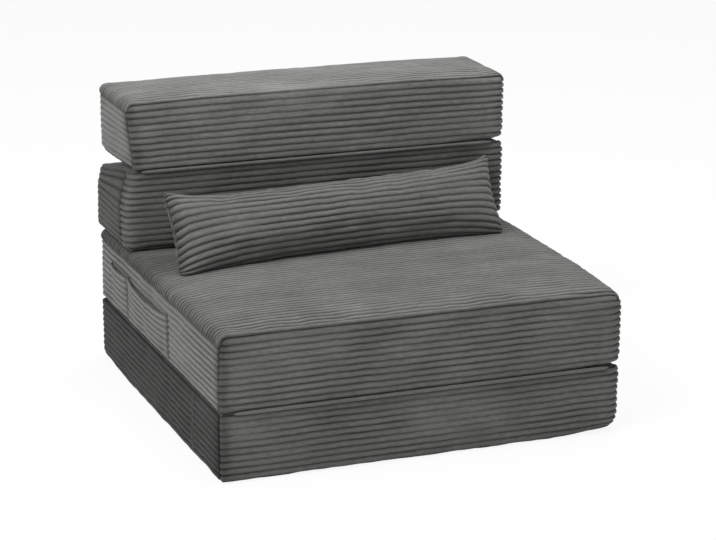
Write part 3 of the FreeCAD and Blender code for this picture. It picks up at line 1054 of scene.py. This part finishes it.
def settle(points, room):
    """Leans the pillow back and presses it flat on the seat and the back."""
    turn = np.array(Matrix.Rotation(PILLOW_YAW, 3, "Z") @ Matrix.Rotation(PILLOW_LEAN, 3, "X"))
    points = points @ turn.T + (pillow_low + pillow_high) / 2 + PILLOW_SHIFT
    rest = seat_level(points[:, 0], points[:, 1]) + room
    points[:, 2] = rest + PRESSED * np.logaddexp(0, (points[:, 2] - rest) / PRESSED)
    points[:, 1] = np.minimum(points[:, 1], block_box("lower_back")[0][1] - room)
    return points


stuffing = settle(points * STUFFING_SHARE, RIDGE + STUFFING_ROOM)
points = settle(points, RIDGE + PILLOW_ROOM)
print("pillow lies at", points.mean(axis=0).round(1))

# %% [markdown]
# ## The pillow's cover
# The cover is two more panels of corduroy. At the ends the ridges are gathered and run right up to the
# seam, where they stand out as knobs. A way of sewing could be written for that alone, but the one for
# the blocks does it with a shallower seam and higher ridges at the ends. The stuffing holds the panels.

# %% Sew the pillow's cover
PILLOW_NAP = 0.81
PILLOW_TUCK = 2.5
KNOBS = 2.5
SLOT_HALF = 6.0


def pillow_slot(chart):
    """Sinks the cloth of the back panel round the zip."""
    low, high = (np.array(c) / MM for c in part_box("pillow_zip"))
    middle = (low + high) / 2
    half = (high[0] - low[0]) / 2
    away = np.linalg.norm(chart.points - middle, axis=2)
    row, column = np.unravel_index(away.argmin(), away.shape)
    v0 = chart.v[row]
    u0 = chart.u[column]
    past = lambda u, v: np.maximum(np.abs(u - u0) - half, np.abs(v - v0) - SLOT_HALF)
    return lambda u, v: 1 - ease(0, SLOT_EASE, past(u, v))


pillow_pieces = []
for side, grid, outward in (("front", pillow_front, (0, -1, 1)), ("back", pillow_back, (0, 1, -1))):
    chart = Chart(points[grid])
    wide = chart.u[-1]
    tall = chart.v[-1]
    area = (0, wide, 0, tall)
    bound = lambda u, v: within(u, v, (-KNOBS, wide + KNOBS, 0, tall))
    swell = lambda u, v: 1.1 + 0.9 * np.exp(-((np.minimum(u, wide - u) / 30) ** 2))
    slot = pillow_slot(chart) if side == "back" else None
    seed = 800 + 20 * len(pillow_pieces)
    name = f"pillow_{side}_cover"
    piece = sew(name, chart, area, bound, outward, seed, PILLOW_NAP, PILLOW_TUCK, swell, slot=slot)
    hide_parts(f"pillow_{side}_panel")
    pillow_pieces.append(piece)
filling = make_piece("pillow_stuffing", stuffing, faces)
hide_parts("pillow_filling")
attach(filling, "pillow")
for piece in pillow_pieces:
    hang(piece, filling)
print("pillow panels", [len(p.data.polygons) for p in pillow_pieces], "quads")

# %% [markdown]
# ## Hinge welts
# The blocks are joined by a rolled welt of cloth along each hinge line. A plain rod would do for the
# hinge, but a rolled seam is never even, so the roll swells and thins a little along its length. It
# shows as a fine line where two blocks meet.

# %% Roll the welts
WELT_SIDES = 12
WELT_STEP = 6.0
WELT_SEED = 900


def roll(name, start, end, radius):
    count = int(np.linalg.norm(end - start) / WELT_STEP)
    t = np.linspace(0, 1, count)[:, None]
    turn = np.linspace(0, 2 * np.pi, WELT_SIDES, endpoint=False)[None, :]
    uneven = 0.94 + 0.05 * waves(WELT_SEED, 60, 14)(t * 700, turn * 8)
    thick = radius * uneven * np.sqrt(1 - (2 * t - 1) ** 40)
    x = start[0] + t * (end[0] - start[0]) + 0 * turn
    y = start[1] + thick * np.cos(turn)
    z = start[2] + thick * np.sin(turn)
    grid = np.arange(x.size).reshape(x.shape)
    grid = np.concatenate([grid, grid[:, :1]], axis=1)
    piece = make_piece(name, np.stack([x, y, z], axis=-1).reshape(-1, 3), grid_quads(grid)[:, ::-1])
    give(piece.data, "ridge", np.full(x.size, 0.7))
    give(piece.data, "shade", np.full(x.size, 0.95))
    give(piece.data, "along", x.ravel())
    give(piece.data, "across", (6 * turn + 0 * t).ravel())
    return piece


HINGES = {"seat_hinge_welt": "upper_seat", "back_hinge_welt": "upper_seat", "top_hinge_welt": "lower_back"}
welts = []
for node, body in HINGES.items():
    low, high = (np.array(c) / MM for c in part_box(node))
    centre = (low + high) / 2
    half = (high - low) / 2
    reach = np.array([half[0], 0, 0])
    welt = roll(node + "_roll", centre - reach, centre + reach, min(half[1], half[2]))
    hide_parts(node)
    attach(welt, body)
    welts.append(welt)
print("welts", [welt.name for welt in welts])

# %% [markdown]
# ## Teeth and tape
# A zip is two woven tapes with a row of small teeth that lock into each other. A striped band could
# stand for it, but the teeth are large enough to see up close. Each tooth is a block with a narrower
# top, made by numbers for the whole row at once. The tape is a hemmed sheet that dips between the rows.

# %% Teeth and tape
TOOTH_PITCH = 2.4
TOOTH_HALF = np.array([0.42 * TOOTH_PITCH, 1.7, 0.75])
TOOTH_BEVEL = 0.35
BLOCK_FACES = np.array([[0, 2, 3, 1], [4, 5, 7, 6], [0, 1, 5, 4], [2, 6, 7, 3], [0, 4, 6, 2], [1, 3, 7, 5]])
TAPE_LINES = [-5.0, -4.2, -1.6, 0, 1.6, 4.2, 5.0]
TAPE_LEVELS = np.array([-0.5, 0.15, 0.2, -0.1, 0.2, 0.15, -0.5])
TAPE = 1.0


def zip_teeth(name, start, axes, length):
    number = np.arange(2 * int(length / TOOTH_PITCH))
    corner = np.stack(np.meshgrid([-1, 1], [-1, 1], [-1, 1], indexing="ij"), axis=-1).reshape(-1, 3)
    bevel = 1 - TOOTH_BEVEL * (corner[:, 2] > 0)
    tooth = corner * TOOTH_HALF * np.stack([bevel, bevel, np.ones(8)], axis=1)
    along = (number + 0.5) * length / len(number)
    side = np.where(number % 2, 0.9, -0.9)
    tooth = tooth[None] + np.stack([along, side, np.full(len(number), 0.9)], axis=1)[:, None]
    faces = (8 * number[:, None, None] + BLOCK_FACES).reshape(-1, 4)
    return make_piece(name, start + tooth.reshape(-1, 3) @ axes, faces)


def zip_tape(name, start, axes, length):
    steps = np.linspace(0, length, max(8, int(length / 9)))
    s, w = np.meshgrid(steps, TAPE_LINES, indexing="ij")
    level = TAPE_LEVELS + 0.15 * waves(950, 90, 30)(s, 3 * w)
    face = start + np.stack([s, w, level], axis=-1) @ axes
    return closed_sheet(name, face, face - axes[2] * TAPE)


print("a tooth is", 2 * TOOTH_HALF, "mm")

# %% [markdown]
# ## Zips
# Every cover has a zip so that it can be washed: along the right side of each block, and low on the
# back of the pillow. A zip could follow the bulge of its cloth, but the slider is the frame's own piece
# and travels on a straight line, so the teeth lie straight on that line. The teeth hang on the tape.

# %% Set in the zips
ZIP_SUNK = 2.2
PILLOW_ZIP_SUNK = 0.6
PILLOW_ZIP_HALF = 150.0
PILLOW_ZIP_YAW = math.radians(4.5)
PILLOW_ZIP_SLOPE = math.radians(-62.4)


def set_zip(node, start, end, across, out, body):
    length = np.linalg.norm(end - start)
    axes = np.stack([(end - start) / length, across, out])
    teeth = zip_teeth(node + "_teeth", start, axes, length)
    tape = zip_tape(node + "_tape", start, axes, length)
    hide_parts(node)
    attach(tape, body)
    hang(teeth, tape)
    return tape, teeth


zips = []
for block in BLOCKS:
    low, high = (np.array(c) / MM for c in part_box(block.name + "_zip"))
    line = np.array([high[0] - ZIP_SUNK, 0, (low[2] + high[2]) / 2])
    start = line + [0, low[1], 0]
    end = line + [0, high[1], 0]
    zips.append(set_zip(block.name + "_zip", start, end, (0, 0, 1), (1, 0, 0), block.name))
low, high = (np.array(c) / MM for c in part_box("pillow_zip"))
yaw = np.array(Matrix.Rotation(PILLOW_ZIP_YAW, 3, "Z"))
out = yaw @ [0, math.cos(PILLOW_ZIP_SLOPE), math.sin(PILLOW_ZIP_SLOPE)]
across = yaw @ [0, -math.sin(PILLOW_ZIP_SLOPE), math.cos(PILLOW_ZIP_SLOPE)]
half = yaw @ [PILLOW_ZIP_HALF, 0, 0]
zip_middle = (low + high) / 2 - out * PILLOW_ZIP_SUNK
zips.append(set_zip("pillow_zip", zip_middle - half, zip_middle + half, across, out, "pillow"))
print("zips", [len(teeth.data.polygons) for tape, teeth in zips])

# %% [markdown]
# ## Shader sums
# A finish is a formula: a few noises and the values that the sewing left on the cloth, added and
# multiplied. It could be wired node by node, but then the formula is hard to read. So a small class
# wraps a socket and can be used in sums like a number. Every other node comes from its method `node`,
# which sets what the node does first, and then gives its sockets values or links.


# %% A socket that counts
class Wire:
    def __init__(self, tree, socket):
        self.tree = tree
        self.socket = socket

    @classmethod
    def node(cls, tree, kind, settings, sockets, output=0):
        made = tree.nodes.new(kind)
        for name, value in settings.items():
            setattr(made, name, value)
        for key, value in sockets.items():
            if isinstance(value, cls):
                tree.links.new(value.socket, made.inputs[key])
            else:
                made.inputs[key].default_value = value
        return cls(tree, made.outputs[output]) if made.outputs else None

    def maths(self, operation, other, swapped=False):
        pair = (other, self) if swapped else (self, other)
        return Wire.node(self.tree, "ShaderNodeMath", {"operation": operation}, dict(enumerate(pair)))

    def __add__(self, other):
        return self.maths("ADD", other)

    def __radd__(self, other):
        return self.maths("ADD", other, swapped=True)

    def __sub__(self, other):
        return self.maths("SUBTRACT", other)

    def __rsub__(self, other):
        return self.maths("SUBTRACT", other, swapped=True)

    def __mul__(self, other):
        return self.maths("MULTIPLY", other)

    def __rmul__(self, other):
        return self.maths("MULTIPLY", other, swapped=True)

    def __pow__(self, other):
        return self.maths("POWER", other)


print("a wire can stand in sums with + - * and **")

# %% [markdown]
# ## Nodes that come back
# Every finish here needs the same few things: a noise that stays with the piece, a colour that is mixed
# or made darker, and small bumps. Node groups could hold them, but a short function is easier to read.
# Colours go through Mix nodes, because a Math node would turn them grey.


# %% Nodes that come back
def new_material(name):
    material = bpy.data.materials.new(name)
    material.use_nodes = True
    tree = material.node_tree
    tree.nodes.clear()
    return material, tree


def noise(tree, scale, detail=2.0, stretch=(1, 1, 1)):
    place = Wire.node(tree, "ShaderNodeTexCoord", {}, {}, "Object")
    place = Wire.node(tree, "ShaderNodeVectorMath", {"operation": "MULTIPLY"}, {0: place, 1: stretch})
    return Wire.node(tree, "ShaderNodeTexNoise", {}, {"Vector": place, "Scale": scale, "Detail": detail})


def mixed(tree, share, first, second, blend="MIX"):
    settings = {"data_type": "RGBA", "blend_type": blend}
    return Wire.node(tree, "ShaderNodeMix", settings, {0: share, 6: first, 7: second}, 2)


def tinted(tree, colour, amount):
    """A colour made lighter or darker by a number or by another colour."""
    return mixed(tree, 1.0, colour, amount, "MULTIPLY")


def bumped(tree, height, strength, distance):
    sockets = {"Height": height, "Strength": strength, "Distance": distance}
    return Wire.node(tree, "ShaderNodeBump", {}, sockets)


def finish_material(tree, sockets):
    shader = Wire.node(tree, "ShaderNodeBsdfPrincipled", {}, sockets)
    Wire.node(tree, "ShaderNodeOutputMaterial", {}, {"Surface": shader})


print("materials so far", len(bpy.data.materials))

# %% [markdown]
# ## Corduroy
# The pile stands up on the crests and thins out in the valleys, where the darker ground cloth shows,
# deepened with painted shade of the valleys.
# Long soft patches come from pile that was stroked one way or the other, and a fine grain breaks up
# every ridge. A picture of cloth could be laid on, but it would repeat and cross the ridges. Noises
# that are steered by the values on the points follow them. Where the pile lies against the light, a
# darker mix with less sheen stands in.

# %% Corduroy
CREST = (1.0, 1.0, 0.99, 1)
# Valley colour: the ground cloth's own darker tone, darkened further with painted shade.
GROUND_AND_VALLEY_SHADE = (0.36, 0.36, 0.355, 1)
BLUE_SHARE = 0.975
STREAK = 0.22
AGAINST_THE_PILE = ("lower_seat_left_cover", "lower_back_left_cover")


def attribute(tree, name):
    return Wire.node(tree, "ShaderNodeAttribute", {"attribute_name": name}, {}, "Fac")


def varied(value, swing):
    """A noise as a factor that goes up and down round 1."""
    return (1 - swing) + value * (2 * swing)


def corduroy(name, tone, sheen):
    material, tree = new_material(name)
    lie = {0: attribute(tree, "along") * STREAK, 1: attribute(tree, "across")}
    lie = Wire.node(tree, "ShaderNodeCombineXYZ", {}, lie)
    streak = Wire.node(tree, "ShaderNodeTexNoise", {}, {"Vector": lie, "Scale": 0.32, "Detail": 3.0})
    patch = noise(tree, 9.0, 3.0)
    pile = noise(tree, 260.0, 3.0)
    grain = noise(tree, 1400.0)
    # The darker ground cloth shows in the valleys, deepened with painted shade.
    valley_ground_and_shade = 1 - attribute(tree, "ridge") ** 1.5
    light = attribute(tree, "shade") * varied(patch, 0.2) * varied(streak, 0.38)
    light = light * varied(pile, 0.18) * varied(grain, 0.16)
    colour = tinted(tree, mixed(tree, valley_ground_and_shade, CREST, GROUND_AND_VALLEY_SHADE), light)
    finish = {
        "Base Color": tinted(tree, colour, (tone, tone, tone * BLUE_SHARE, 1)),
        "Roughness": 0.86 + pile * 0.12,
        "Specular IOR Level": 0.12,
        "Sheen Weight": sheen,
        "Sheen Roughness": 0.45,
        "Sheen Tint": (0.9, 0.9, 0.88, 1),
        "Normal": bumped(tree, pile * 0.6 + grain * 0.4, 0.35, 0.0012),
    }
    finish_material(tree, finish)
    return material


cloth = corduroy("corduroy", 0.175, 0.2)
against = corduroy("corduroy_against_the_pile", 0.13, 0.03)
ribbed = [*covers.values(), *pockets, *pillow_pieces, *welts]
for piece in ribbed:
    piece.data.materials.append(against if piece.name in AGAINST_THE_PILE else cloth)
print("corduroy on", len(ribbed), "pieces")

# %% [markdown]
# ## Two-tone finishes
# No small part has one flat colour: thread is twisted, tape is woven, metal is rubbed bright and foam
# is full of pores. Each could be a material wired by hand, but they differ only in what pattern mixes
# the two tones and what makes the bumps. So one function takes both as functions.


# %% Two-tone finishes
def wave(tree, direction, scale):
    place = Wire.node(tree, "ShaderNodeTexCoord", {}, {}, "Object")
    settings = {"bands_direction": direction}
    sockets = {"Vector": place, "Scale": scale, "Distortion": 1.0}
    return Wire.node(tree, "ShaderNodeTexWave", settings, sockets, "Fac")


def plain(name, colours, share, roughness, height, bump, metal=0.0):
    """Two colours mixed by a share, which also sets the roughness, and a height that makes the bumps."""
    material, tree = new_material(name)
    share = share(tree)
    dark, light = (tuple(c) + (1,) for c in colours)
    finish = {
        "Base Color": mixed(tree, share, dark, light),
        "Roughness": roughness[0] + share * roughness[1],
        "Metallic": metal,
        "Normal": bumped(tree, height(tree), *bump),
    }
    finish_material(tree, finish)
    return material


def twisted(tree):
    return wave(tree, "DIAGONAL", 500.0)


def woven(tree):
    return wave(tree, "Y", 420.0) * 0.5 + wave(tree, "Z", 420.0) * 0.5


def speckled(scale, detail=2.0, stretch=(1, 1, 1)):
    return lambda tree: noise(tree, scale, detail, stretch)


def rubbed(tree):
    return noise(tree, 300.0, 4.0) ** 3


def two_tones(low, high, warmth):
    """A dark and a light tone, with a little less green and less blue the warmer they are."""
    return [(v, v * (1 - warmth * 0.3), v * (1 - warmth)) for v in (low, high)]


print("two tones of foam", np.round(two_tones(0.55, 0.86, 0.35), 2).tolist())

# %% [markdown]
# ## Thread, zips and fillings
# Thread has fine slanting bands from its twist. Tape is a close weave of two crossing waves, teeth are
# moulded and a little shiny, and the slider is dark metal rubbed bright in places. The foam is open and
# crumbly, the liner is thin felt, and the stuffing is pale fibre. The fillings could go without a
# finish, because nobody sees them, but a cover that is taken off would show them.

# %% Thread, zips and fillings
thread = plain("thread", two_tones(0.12, 0.24, 0.02), twisted, (0.6, 0.2), twisted, (0.4, 0.0003))
tape_weave = plain("zip_tape", two_tones(0.012, 0.04, 0.02), woven, (0.75, 0.15), woven, (0.5, 0.0004))
tooth = plain(
    "zip_teeth", two_tones(0.015, 0.045, 0.0), speckled(180.0), (0.3, 0.2), speckled(900.0), (0.2, 0.0002)
)
slider_metal = plain(
    "zip_slider", two_tones(0.05, 0.36, 0.05), rubbed, (0.5, -0.3), speckled(1200.0), (0.15, 0.0002), 0.9
)
pores = speckled(500.0, 4.0)
foam = plain("foam", two_tones(0.55, 0.86, 0.35), speckled(220.0, 4.0), (0.85, 0.1), pores, (0.7, 0.001))
liner = plain(
    "liner", two_tones(0.6, 0.82, 0.03), speckled(120.0, 3.0), (0.8, 0.15), speckled(900.0), (0.4, 0.0005)
)
strands = speckled(160.0, 5.0, (0.2, 1, 1))
fibre = plain("fibre", two_tones(0.75, 0.92, 0.03), strands, (0.85, 0.1), speckled(320.0, 5.0), (0.6, 0.001))
for piece in stitches:
    piece.data.materials.append(thread)
for tape, teeth in zips:
    tape.data.materials.append(tape_weave)
    teeth.data.materials.append(tooth)
for block in BLOCKS:
    cores[block.name].data.materials.append(foam)
    bpy.data.objects[block.name + "_bag"].data.materials.append(liner)
filling.data.materials.append(fibre)
for node in bpy.data.objects:
    if node.name.endswith("_zip_slider") and node.type == "MESH":
        node.data.materials.clear()
        node.data.materials.append(slider_metal)
print("materials", [m.name for m in bpy.data.materials])

# %% [markdown]
# ## Camera
# The photo was taken from the front left, a little above the seat, with a long lens. The view could be
# set by eye, but then sizes could not be compared. So the corners of the blocks were used to find where
# the camera stood. It is tilted by less than half a degree.

# %% Camera
LENS = 126.9
TILT = math.radians(0.38)
EYE = Vector((-1.637, -4.201, 1.595))
AIM = Vector((-0.010, -0.066, 0.260))
camera_data = bpy.data.cameras.new("photo_camera")
camera_data.lens = LENS
camera_data.sensor_width = 36
camera_data.clip_end = 60
camera = bpy.data.objects.new("photo_camera", camera_data)
bpy.context.scene.collection.objects.link(camera)
look = (AIM - EYE).to_track_quat("-Z", "Y").to_matrix().to_4x4()
camera.matrix_world = Matrix.Translation(EYE) @ look @ Matrix.Rotation(TILT, 4, "Z")
bpy.context.scene.camera = camera
print("camera stands", round((AIM - EYE).length, 2), "m away")

# %% [markdown]
# ## Floor
# Shop photos stand on white with hardly a shadow. A white floor alone would show the whole shadow, and
# no floor at all would let the chair float. So the floor is pale paint, and to the camera most of it
# also glows, which leaves only a trace of the shadow.

# %% Floor
FLOOR_HALF = 25000
FLOOR_LEVEL = -0.6
GLOW_SHARE = 0.9
WHITE = (1, 1, 1, 1)
bpy.context.scene.view_settings.view_transform = "Standard"


def straight_to_the_eye(tree):
    """1 for what the camera sees, also mirrored in metal or through glass, and 0 for light on the object."""
    camera, glossy, through = (
        Wire.node(tree, "ShaderNodeLightPath", {}, {}, f"Is {kind} Ray")
        for kind in ("Camera", "Glossy", "Transmission")
    )
    return camera.maths("MAXIMUM", glossy).maths("MAXIMUM", through)


corners = np.array([[-1, -1], [1, -1], [1, 1], [-1, 1]]) * FLOOR_HALF
floor = make_piece("floor", np.column_stack([corners, np.full(4, FLOOR_LEVEL)]), [[0, 1, 2, 3]])
material, tree = new_material("pale_floor")
seen = straight_to_the_eye(tree)
paint = Wire.node(tree, "ShaderNodeBsdfDiffuse", {}, {"Color": (0.9, 0.9, 0.9, 1)})
glow = Wire.node(tree, "ShaderNodeEmission", {}, {"Color": WHITE, "Strength": 1.0})
both = Wire.node(tree, "ShaderNodeMixShader", {}, {0: seen * GLOW_SHARE, 1: paint, 2: glow})
Wire.node(tree, "ShaderNodeOutputMaterial", {}, {"Surface": both})
floor.data.materials.append(material)
print("floor at", FLOOR_LEVEL, "mm")

# %% [markdown]
# ## World
# In a studio light also comes back from the walls. Many lamps could do that, but the world gives the
# same soft light from all sides. It lights the chair dimly, and the camera sees it as white.

# %% World
WALL_LIGHT = 0.45
world = bpy.data.worlds.new("studio")
bpy.context.scene.world = world
world.use_nodes = True
tree = world.node_tree
tree.nodes.clear()
seen = straight_to_the_eye(tree)
dim, white = (
    Wire.node(tree, "ShaderNodeBackground", {}, {"Color": WHITE, "Strength": strength})
    for strength in (WALL_LIGHT, 1.0)
)
both = Wire.node(tree, "ShaderNodeMixShader", {}, {0: seen, 1: dim, 2: white})
Wire.node(tree, "ShaderNodeOutputWorld", {}, {"Surface": both})
print("world", world.name)

# %% [markdown]
# ## Lamps
# A shop lights its goods with wide soft lamps, so that no shadow has a sharp edge. A sun lamp would draw
# sharp ones, so two large area lamps stand on the left and overhead.


# %% Lamps
def lamp(name, place, target, size, power):
    data = bpy.data.lights.new(name, "AREA")
    data.size = size
    data.energy = power
    light = bpy.data.objects.new(name, data)
    bpy.context.scene.collection.objects.link(light)
    light.location = place
    light.rotation_euler = (Vector(target) - Vector(place)).to_track_quat("-Z", "Y").to_euler()
    return light


MIDDLE = (0, 0, 0.3)
key = lamp("key", (-2.6, -1.2, 3.2), MIDDLE, 2.2, 110)
top = lamp("top", (0.6, 0.4, 3.6), MIDDLE, 2.6, 70)
print("lamps of", key.data.energy, "and", top.data.energy, "W")
